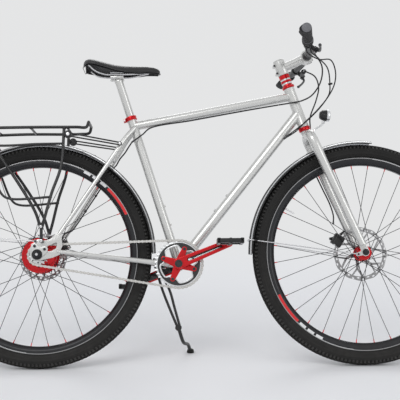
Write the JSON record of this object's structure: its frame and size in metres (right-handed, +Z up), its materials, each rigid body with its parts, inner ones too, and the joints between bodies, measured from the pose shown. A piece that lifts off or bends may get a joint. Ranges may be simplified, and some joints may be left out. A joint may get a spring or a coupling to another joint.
{
  "type": "touring bicycle",
  "caption": "Touring bicycle on its side stand, with rear rack, mudguards, hub gears, disc brakes, headlight, flat swept bar, steerable fork and turning wheels and cranks.",
  "frame": {"origin": "centre of the bounding box at ground level, under the bicycle leaning on its stand", "axes": "+X towards the front wheel, +Y to the rider's left (the side it leans to), +Z up"},
  "size_m": [1.799, 0.6772, 1.0864],
  "materials": {
    "frame_silver": "satin silver tubing",
    "polished_silver": "polished",
    "red_anodised": "anodised, satin",
    "black_alloy": "black anodised",
    "black_plastic": "moulded, satin",
    "grip_rubber": "matte",
    "tyre_rubber": "matte",
    "stainless": "brushed",
    "black_steel": "black powder coat",
    "clear_lens": "clear",
    "saddle_cover": "smooth, slight gloss"
  },
  "bodies": {
    "frame_body": {"frame": "frame_silver", "seat_collar": "red_anodised", "bottom_bracket": "stainless", "lower_headset_cup": "red_anodised", "upper_headset_cup": "red_anodised", "rear_axle": "stainless", "shift_box": "black_plastic", "chain": "stainless", "rear_caliper": "black_alloy", "rear_mudguard": "black_plastic", "rear_mudguard_stays": "stainless", "rack": "black_steel", "stand_bracket": "black_steel", "frame_cables": "grip_rubber", "rear_hose_loop": "grip_rubber", "shift_cable_loops": "grip_rubber"},
    "steering_body": {"fork": "frame_silver", "steerer_spacers": "polished_silver", "stem": "polished_silver", "stem_face_plate": "polished_silver", "handlebar": "black_alloy", "right_grip": "grip_rubber", "left_grip": "grip_rubber", "right_brake_body": "black_alloy", "left_brake_body": "black_alloy", "headlight": "black_plastic", "headlight_lens": "clear_lens", "headlight_bracket": "stainless", "front_mudguard": "black_plastic", "front_mudguard_stays": "stainless", "front_caliper": "black_alloy", "front_brake_hose": "grip_rubber", "front_axle": "black_alloy"},
    "seat_body": {"seatpost": "frame_silver", "saddle_clamp": "polished_silver", "saddle_rails": "stainless", "saddle": "saddle_cover"},
    "stand_body": {"stand_leg": "black_steel", "stand_foot": "black_steel"},
    "crank_body": {"right_crank": "red_anodised", "left_crank": "red_anodised", "chainring": "stainless"},
    "right_pedal_body": {"right_pedal": "black_plastic"},
    "left_pedal_body": {"left_pedal": "black_plastic"},
    "sprocket_body": {"sprocket": "stainless"},
    "front_wheel_body": {"front_tyre": "tyre_rubber", "front_rim": "black_alloy", "front_spokes": "stainless", "front_hub": "red_anodised", "front_rotor": "stainless"},
    "rear_wheel_body": {"rear_tyre": "tyre_rubber", "rear_rim": "black_alloy", "rear_spokes": "stainless", "rear_hub": "red_anodised", "rear_rotor": "stainless"},
    "right_lever_body": {"right_brake_lever": "polished_silver"},
    "left_lever_body": {"left_brake_lever": "polished_silver"},
    "shifter_body": {"twist_shifter": "grip_rubber"}
  },
  "joints": [
    {"name": "steering", "type": "hinge", "parent": "frame_body", "child": "steering_body", "pos_m": [0.33937, -0.04144, 0.80695], "axis": [-0.3338, 0.196, 0.922], "range_deg": [-60, 60], "deforming": ["rear_hose_loop", "shift_cable_loops"]},
    {"name": "front_wheel_spin", "type": "hinge", "parent": "steering_body", "child": "front_wheel_body", "pos_m": [0.5355, -0.13728, 0.35605], "axis": [0, 0.9781, -0.2079], "continuous": true},
    {"name": "rear_wheel_spin", "type": "hinge", "parent": "frame_body", "child": "rear_wheel_body", "pos_m": [-0.5225, -0.13728, 0.35605], "axis": [0, 0.9781, -0.2079], "continuous": true},
    {"name": "crank_spin", "type": "hinge", "parent": "frame_body", "child": "crank_body", "pos_m": [-0.0705, -0.14414, 0.32377], "axis": [0, 0.9781, -0.2079], "continuous": true},
    {"name": "sprocket_spin", "type": "hinge", "parent": "frame_body", "child": "sprocket_body", "pos_m": [-0.5225, -0.13728, 0.35605], "axis": [0, 0.9781, -0.2079], "continuous": true},
    {"name": "right_pedal_spin", "type": "hinge", "parent": "crank_body", "child": "right_pedal_body", "pos_m": [0.09176, -0.26158, 0.41575], "axis": [0, 0.9781, -0.2079], "continuous": true},
    {"name": "left_pedal_spin", "type": "hinge", "parent": "crank_body", "child": "left_pedal_body", "pos_m": [-0.23276, -0.0267, 0.23178], "axis": [0, 0.9781, -0.2079], "continuous": true},
    {"name": "seatpost_slide", "type": "slide", "parent": "frame_body", "child": "seat_body", "axis": [-0.304, 0.1981, 0.9318], "range_m": [-0.11, 0.05]},
    {"name": "stand_fold", "type": "hinge", "parent": "frame_body", "child": "stand_body", "pos_m": [-0.1335, -0.10559, 0.28388], "axis": [0, 0.9781, -0.2079], "range_deg": [0, 96]},
    {"name": "right_brake_pull", "type": "hinge", "parent": "steering_body", "child": "right_lever_body", "pos_m": [0.37607, -0.16418, 1.01829], "axis": [0.6157, 0.1638, 0.7708], "range_deg": [-16, 0], "stiffness_Nm_per_rad": 1},
    {"name": "left_brake_pull", "type": "hinge", "parent": "steering_body", "child": "left_lever_body", "pos_m": [0.37607, 0.15666, 0.95009], "axis": [0.6157, 0.1638, 0.7708], "range_deg": [0, 16], "stiffness_Nm_per_rad": 1},
    {"name": "shifter_twist", "type": "hinge", "parent": "steering_body", "child": "shifter_body", "pos_m": [0.34328, -0.19523, 1.04535], "axis": [-0.1643, -0.9697, 0.1806], "range_deg": [-100, 100]}
  ],
  "couplings": [
    {"joint": "sprocket_spin", "follows": "crank_spin", "ratio": 2.375}
  ]
}
